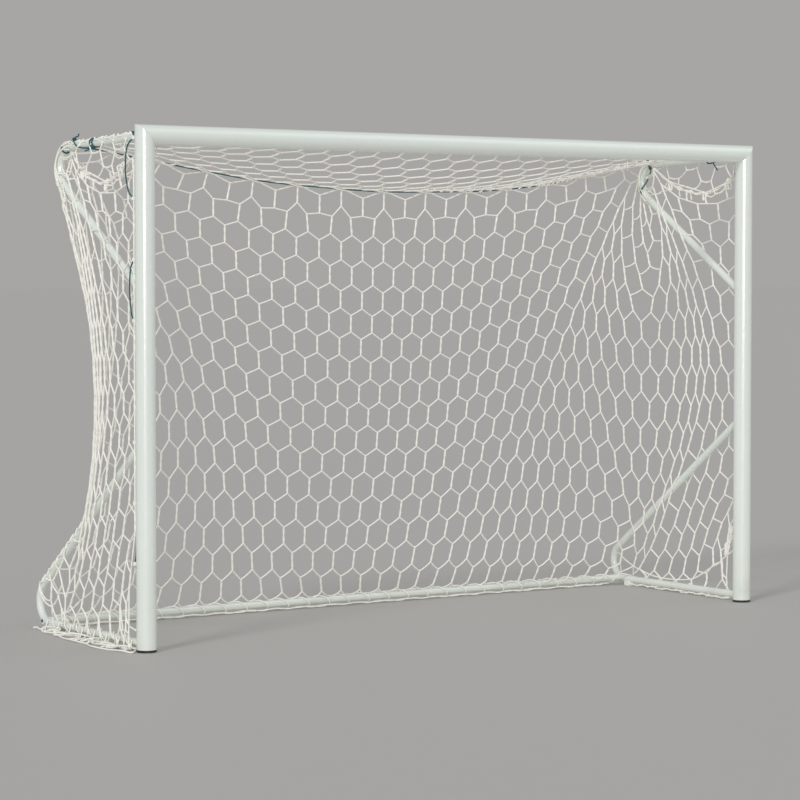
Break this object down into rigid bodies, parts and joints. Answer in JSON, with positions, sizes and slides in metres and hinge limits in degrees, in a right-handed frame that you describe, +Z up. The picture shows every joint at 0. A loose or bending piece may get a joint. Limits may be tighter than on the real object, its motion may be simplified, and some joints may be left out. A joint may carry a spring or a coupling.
{
  "type": "futsal goal",
  "caption": "Free-standing futsal goal: mitred round posts and crossbar on bent side brackets and a rear ground bar, with a hexagonal mesh net on hooks and ropes.",
  "frame": {"origin": "on the floor, midway between the goal's sides and midway between its front and its rear", "axes": "+X along the crossbar, to the right of a player who looks into the mouth; +Y from the mouth into the net; +Z up"},
  "size_m": [3.1612, 0.9996, 2.08],
  "materials": {
    "white_paint": "gloss powder coat",
    "cast_metal": "raw casting",
    "screw_steel": "zinc plated",
    "bolt_steel": "dark coated steel",
    "black_rubber": "matt",
    "white_plastic": "moulded, satin",
    "teal_rope": "twisted rope, matt",
    "net_cord": "braided knotless cord, matt"
  },
  "bodies": {
    "root": {"left_post": "white_paint", "right_post": "white_paint", "crossbar": "white_paint", "left_corner_insert": "cast_metal", "left_post_screw": "screw_steel", "left_bar_screw": "screw_steel", "left_post_foot": "black_rubber", "left_upper_bracket": "white_paint", "left_lower_bracket": "white_paint", "right_corner_insert": "cast_metal", "right_post_screw": "screw_steel", "right_bar_screw": "screw_steel", "right_post_foot": "black_rubber", "right_upper_bracket": "white_paint", "right_lower_bracket": "white_paint", "rear_ground_bar": "white_paint", "left_bar_plug": "white_plastic", "left_bar_bolt": "bolt_steel", "left_bar_washer": "white_plastic", "left_rear_glide": "white_plastic", "right_bar_plug": "white_plastic", "right_bar_bolt": "bolt_steel", "right_bar_washer": "white_plastic", "right_rear_glide": "white_plastic", "left_post_hook_1": "white_plastic", "left_post_hook_2": "white_plastic", "left_post_hook_3": "white_plastic", "left_post_hook_4": "white_plastic", "left_post_hook_5": "white_plastic", "left_post_hook_6": "white_plastic", "left_post_hook_7": "white_plastic", "left_post_hook_8": "white_plastic", "right_post_hook_1": "white_plastic", "right_post_hook_2": "white_plastic", "right_post_hook_3": "white_plastic", "right_post_hook_4": "white_plastic", "right_post_hook_5": "white_plastic", "right_post_hook_6": "white_plastic", "right_post_hook_7": "white_plastic", "right_post_hook_8": "white_plastic", "crossbar_hook_1": "white_plastic", "crossbar_hook_2": "white_plastic", "crossbar_hook_3": "white_plastic", "crossbar_hook_4": "white_plastic", "crossbar_hook_5": "white_plastic", "crossbar_hook_6": "white_plastic", "crossbar_hook_7": "white_plastic", "crossbar_hook_8": "white_plastic", "crossbar_hook_9": "white_plastic", "crossbar_hook_10": "white_plastic", "crossbar_hook_11": "white_plastic", "left_edge_rope": "teal_rope", "right_edge_rope": "teal_rope", "crossbar_edge_rope": "teal_rope", "top_support_rope": "teal_rope", "net_top": "net_cord", "net_back": "net_cord", "net_left": "net_cord", "net_right": "net_cord"}
  },
  "joints": []
}
